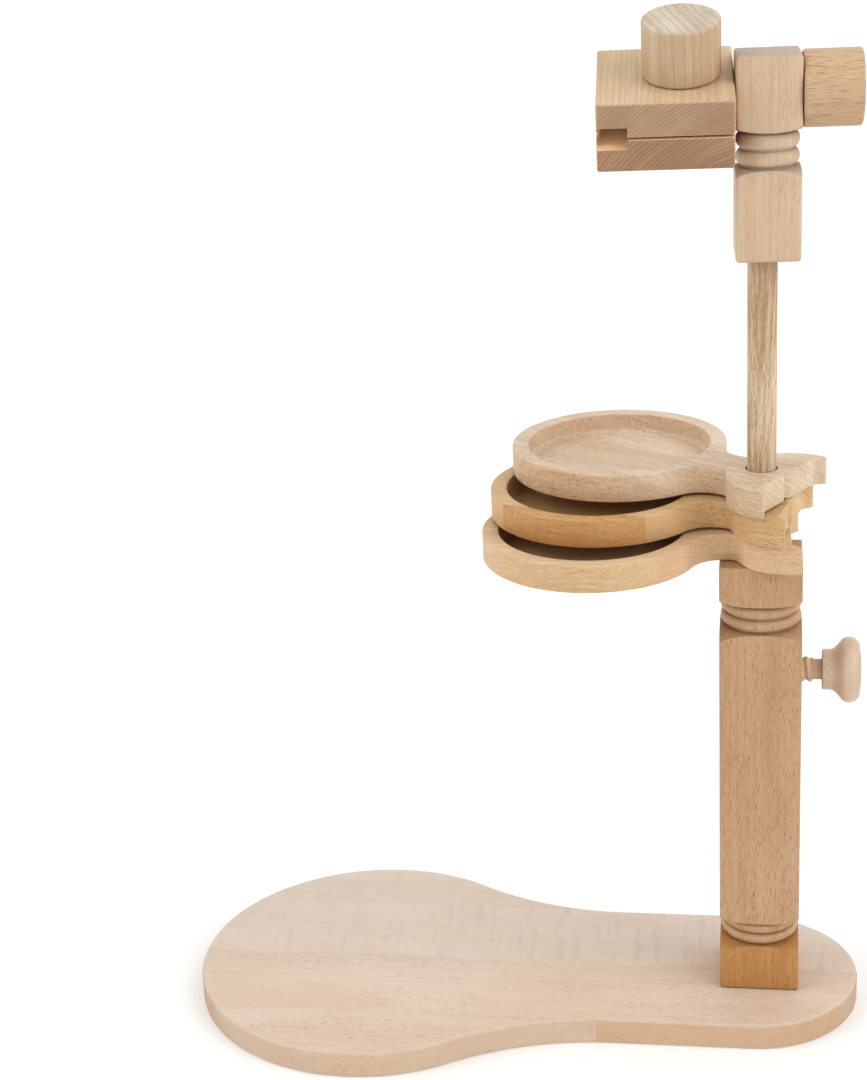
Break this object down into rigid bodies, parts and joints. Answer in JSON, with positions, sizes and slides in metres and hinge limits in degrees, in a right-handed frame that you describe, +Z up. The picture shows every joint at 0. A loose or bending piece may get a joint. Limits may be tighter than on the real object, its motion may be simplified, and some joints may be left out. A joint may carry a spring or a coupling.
{
  "type": "embroidery hoop stand",
  "caption": "Beech table and lap stand with a keyhole base, turned column, sliding mast, swing-out bead trays and a tilting two-jaw clamp that grips an embroidery hoop.",
  "frame": {"origin": "on the table under the middle of the base board's length and width", "axes": "+X along the base board towards the column, +Y towards the back, +Z up"},
  "size_m": [0.35, 0.1888, 0.5119],
  "materials": {
    "base_board": "light oiled beech, pale",
    "column": "light oiled beech, tan",
    "locking_screw_shank": "light oiled beech, pink brown",
    "locking_screw_knob": "light oiled beech",
    "mast_dowel": "light oiled beech, grey brown",
    "head_block": "light oiled beech",
    "tray_upper": "light oiled beech, pale",
    "tray_middle": "light oiled beech, golden",
    "tray_lower": "light oiled beech, pale",
    "upper_jaw": "light oiled beech, end grain on the front",
    "lower_jaw": "light oiled beech, end grain on the front",
    "clamp_knob": "light oiled beech, end grain on top",
    "tilt_knob": "light oiled beech",
    "zinc_steel": "bright zinc"
  },
  "bodies": {
    "stand": {"base_board": "base_board", "base_insert": "zinc_steel", "column": "column", "column_stud": "zinc_steel"},
    "locking_shank": {"locking_screw_shank": "locking_screw_shank"},
    "locking_knob": {"locking_screw_knob": "locking_screw_knob"},
    "mast": {"mast_dowel": "mast_dowel"},
    "head": {"head_block": "head_block"},
    "upper_tray": {"tray_upper": "tray_upper"},
    "middle_tray": {"tray_middle": "tray_middle"},
    "lower_tray": {"tray_lower": "tray_lower"},
    "jaw": {"upper_jaw": "upper_jaw", "tilt_stud": "zinc_steel"},
    "clamp": {"clamp_knob": "clamp_knob", "clamp_stud": "zinc_steel"},
    "lower_clamp_jaw": {"lower_jaw": "lower_jaw", "jaw_nut": "zinc_steel"},
    "tilt_insert": {"tilt_knob_insert": "zinc_steel"},
    "tilt_grip": {"tilt_knob": "tilt_knob"}
  },
  "joints": [
    {"name": "mast_slide", "type": "slide", "parent": "stand", "child": "mast", "axis": [0, 0, 1], "range_m": [-0.1, 0.01]},
    {"name": "head_swivel", "type": "hinge", "parent": "mast", "child": "head", "pos_m": [0.1244, 0, 0.3968], "axis": [0, 0, 1], "continuous": true},
    {"name": "upper_tray_swing", "type": "hinge", "parent": "stand", "child": "upper_tray", "pos_m": [0.1244, 0, 0.2859], "axis": [0, 0, 1], "continuous": true},
    {"name": "middle_tray_swing", "type": "hinge", "parent": "stand", "child": "middle_tray", "pos_m": [0.1244, 0, 0.2708], "axis": [0, 0, 1], "continuous": true},
    {"name": "lower_tray_swing", "type": "hinge", "parent": "stand", "child": "lower_tray", "pos_m": [0.1244, 0, 0.2559], "axis": [0, 0, 1], "continuous": true},
    {"name": "jaw_tilt", "type": "hinge", "parent": "head", "child": "jaw", "pos_m": [0.11107, -0.0008, 0.4732], "axis": [0.9986, 0.0523, 0], "continuous": true},
    {"name": "clamp_knob_turn", "type": "hinge", "parent": "jaw", "child": "clamp", "pos_m": [0.0876, -0.00203, 0.4732], "axis": [0.0142, -0.2702, 0.9627], "range_deg": [0, 2160]},
    {"name": "lower_jaw_travel", "type": "slide", "parent": "jaw", "child": "lower_clamp_jaw", "axis": [-0.0142, 0.2702, -0.9627], "range_m": [0, 0.0061]},
    {"name": "tilt_insert_travel", "type": "slide", "parent": "jaw", "child": "tilt_insert", "axis": [0.9986, 0.0523, 0], "range_m": [0, 0.0061]},
    {"name": "tilt_knob_turn", "type": "hinge", "parent": "tilt_insert", "child": "tilt_grip", "pos_m": [0.14173, 0.0008, 0.4732], "axis": [0.9986, 0.0523, 0], "range_deg": [0, 2160]},
    {"name": "locking_screw_travel", "type": "slide", "parent": "stand", "child": "locking_shank", "axis": [1, 0, 0], "range_m": [0, 0.0077]},
    {"name": "locking_knob_turn", "type": "hinge", "parent": "locking_shank", "child": "locking_knob", "pos_m": [0.1545, 0, 0.1873], "axis": [1, 0, 0], "range_deg": [0, 720]}
  ],
  "couplings": [
    {"joint": "lower_jaw_travel", "follows": "clamp_knob_turn", "m_per_rad": 0.00015915},
    {"joint": "tilt_insert_travel", "follows": "tilt_knob_turn", "m_per_rad": 0.00015915},
    {"joint": "locking_screw_travel", "follows": "locking_knob_turn", "m_per_rad": 0.00060479}
  ]
}
